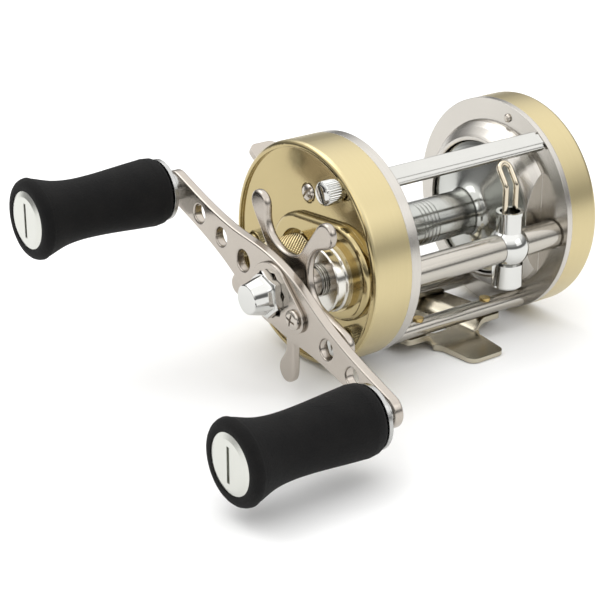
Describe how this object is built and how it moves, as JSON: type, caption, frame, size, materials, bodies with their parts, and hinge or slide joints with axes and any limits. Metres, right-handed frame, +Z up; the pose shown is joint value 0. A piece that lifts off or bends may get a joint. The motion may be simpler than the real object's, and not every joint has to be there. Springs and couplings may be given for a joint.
{
  "type": "baitcasting fishing reel",
  "caption": "Round-frame level-wind baitcasting reel with twin-knob crank handle, star drag, cast control cap, line guide carriage and stamped rod foot.",
  "frame": {"origin": "centre of the underside of the foot, straight below the middle of the spool", "axes": "+X along the spool axis towards the handle, +Y towards the rod tip, +Z up from the rod"},
  "size_m": [0.133, 0.1016, 0.0565],
  "materials": {
    "gold": "champagne anodised, satin with a soft sheen",
    "gold_trim": "gold plated, polished",
    "satin_nickel": "satin nickel",
    "handle_nickel": "satin face with polished edges",
    "foot_steel": "satin nickel plate",
    "chrome": "polished",
    "silver_cap": "satin turned",
    "screw_nickel": "nickel plated",
    "spool_aluminium": "turned and polished",
    "brass": "turned",
    "steel": "ground",
    "guide_wire": "polished wire",
    "drag_fibre": "woven fibre",
    "brake_plastic": "moulded",
    "grip_foam": "matte closed-cell foam"
  },
  "bodies": {
    "frame": {"handle_side_plate": "satin_nickel", "palm_side_plate": "satin_nickel", "plate_rivet": "screw_nickel", "top_cross_bar": "chrome", "front_pillar": "chrome", "rear_pillar": "chrome", "reel_foot": "foot_steel", "foot_rivets": "brass", "handle_side_cover": "gold", "cover_thumb_screws": "chrome", "cover_slot_screw": "screw_nickel", "sleeve_collar": "gold_trim", "shaft_sleeve": "chrome", "one_way_bearing": "steel", "gear_bridge": "brass", "bridge_screws": "screw_nickel", "yoke_guide_pins": "steel", "palm_side_cover": "gold", "palm_cover_screws": "screw_nickel", "palm_bearing_cap": "gold_trim", "brake_drum": "steel", "spool_bearings": "steel", "level_wind_tube": "satin_nickel", "worm_bushings": "brass"},
    "crank": {"drive_shaft": "steel", "main_gear": "brass", "drag_washers": "drag_fibre", "pressure_plate": "steel", "level_wind_drive_gear": "brass", "drag_spring_washers": "steel", "handle_spacer": "steel", "handle_arm": "handle_nickel", "nut_retainer": "satin_nickel", "retainer_screw": "screw_nickel", "handle_nut": "chrome", "knob_spindles": "steel"},
    "star": {"star_drag": "handle_nickel"},
    "knob_a": {"knob_grip_a": "grip_foam", "knob_cap_a": "silver_cap", "knob_washer_a": "satin_nickel"},
    "knob_b": {"knob_grip_b": "grip_foam", "knob_cap_b": "silver_cap", "knob_washer_b": "satin_nickel"},
    "spool_body": {"spool": "spool_aluminium", "spool_shaft": "steel", "clutch_pin": "steel", "brake_carrier": "steel", "brake_blocks": "brake_plastic"},
    "yoke": {"clutch_yoke": "brass", "yoke_springs": "steel"},
    "pinion": {"pinion_gear": "brass"},
    "lever": {"free_spool_lever": "handle_nickel"},
    "cast_control": {"cast_control_cap": "gold_trim", "cast_control_disc": "brass"},
    "worm": {"worm_shaft": "steel", "worm_cog": "brass"},
    "carriage": {"line_guide_carriage": "chrome", "line_guide_wire": "guide_wire", "pawl_cap": "chrome", "level_wind_pawl": "steel"}
  },
  "joints": [
    {"name": "crank_spin", "type": "hinge", "parent": "frame", "child": "crank", "pos_m": [0.056, 0.0144, 0.0279], "axis": [1, 0, 0], "continuous": true},
    {"name": "star_turn", "type": "hinge", "parent": "crank", "child": "star", "pos_m": [0.0519, 0.0144, 0.0279], "axis": [1, 0, 0], "range_deg": [-180, 180]},
    {"name": "knob_a_spin", "type": "hinge", "parent": "crank", "child": "knob_a", "pos_m": [0.08, -0.02658, 0.04249], "axis": [1, 0, 0], "continuous": true},
    {"name": "knob_b_spin", "type": "hinge", "parent": "crank", "child": "knob_b", "pos_m": [0.08, 0.05538, 0.01331], "axis": [1, 0, 0], "continuous": true},
    {"name": "spool_spin", "type": "hinge", "parent": "frame", "child": "spool_body", "pos_m": [0, 0, 0.0285], "axis": [1, 0, 0], "continuous": true},
    {"name": "free_spool_press", "type": "hinge", "parent": "frame", "child": "lever", "pos_m": [0.027, 0, 0.0285], "axis": [1, 0, 0], "range_deg": [0, 12], "stiffness_Nm_per_rad": 0.15, "springref_deg": -17.19},
    {"name": "yoke_slide", "type": "slide", "parent": "frame", "child": "yoke", "axis": [1, 0, 0], "range_m": [0, 0.0015], "deforming": ["yoke_springs"]},
    {"name": "pinion_spin", "type": "hinge", "parent": "yoke", "child": "pinion", "pos_m": [0.031, 0, 0.0285], "axis": [1, 0, 0], "continuous": true},
    {"name": "cast_control_turn", "type": "hinge", "parent": "frame", "child": "cast_control", "pos_m": [0.043, 0, 0.0285], "axis": [1, 0, 0], "range_deg": [-180, 180]},
    {"name": "worm_spin", "type": "hinge", "parent": "frame", "child": "worm", "pos_m": [0, 0.02275, 0.0269], "axis": [1, 0, 0], "continuous": true},
    {"name": "line_guide_slide", "type": "slide", "parent": "frame", "child": "carriage", "axis": [1, 0, 0], "range_m": [-0.0067, 0.0243]}
  ],
  "couplings": [
    {"joint": "spool_spin", "follows": "crank_spin", "ratio": -4.1429},
    {"joint": "pinion_spin", "follows": "crank_spin", "ratio": -4.1429},
    {"joint": "worm_spin", "follows": "crank_spin", "ratio": -1.4706},
    {"joint": "yoke_slide", "follows": "free_spool_press", "m_per_rad": 0.0071548}
  ]
}
